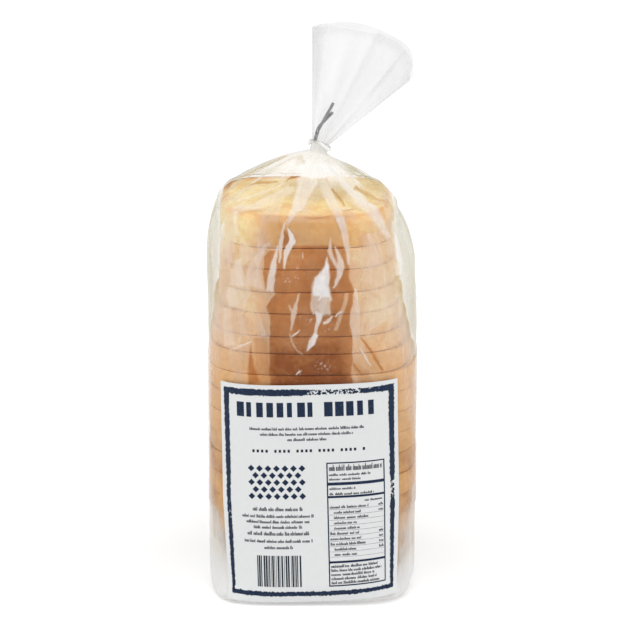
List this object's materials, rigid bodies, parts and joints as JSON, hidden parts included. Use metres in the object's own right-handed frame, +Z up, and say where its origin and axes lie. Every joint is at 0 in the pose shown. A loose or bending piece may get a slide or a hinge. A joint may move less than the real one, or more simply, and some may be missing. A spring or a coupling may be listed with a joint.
{
  "type": "sliced loaf of bread in a clear bag",
  "caption": "Upright clear bag packed with a sliced pan loaf, gathered to a pleated fan above a twist tie, with a plain framed label on its front.",
  "frame": {"origin": "on the surface the bag stands on, below the middle of its box", "axes": "+Z up, from the bag's base to its gathered end; -Y is the front, with the loaf's crown and the label; the gathered end leans to +X"},
  "size_m": [0.1309, 0.1168, 0.3545],
  "materials": {
    "bag": "clear polyethylene film drawn tight over golden brown bread",
    "label": "satin white printed label with a dark blue frame",
    "twist_tie": "grey plastic strip with a wire in it"
  },
  "bodies": {
    "root": {"bag": "bag", "label": "label", "twist_tie": "twist_tie"}
  },
  "joints": []
}
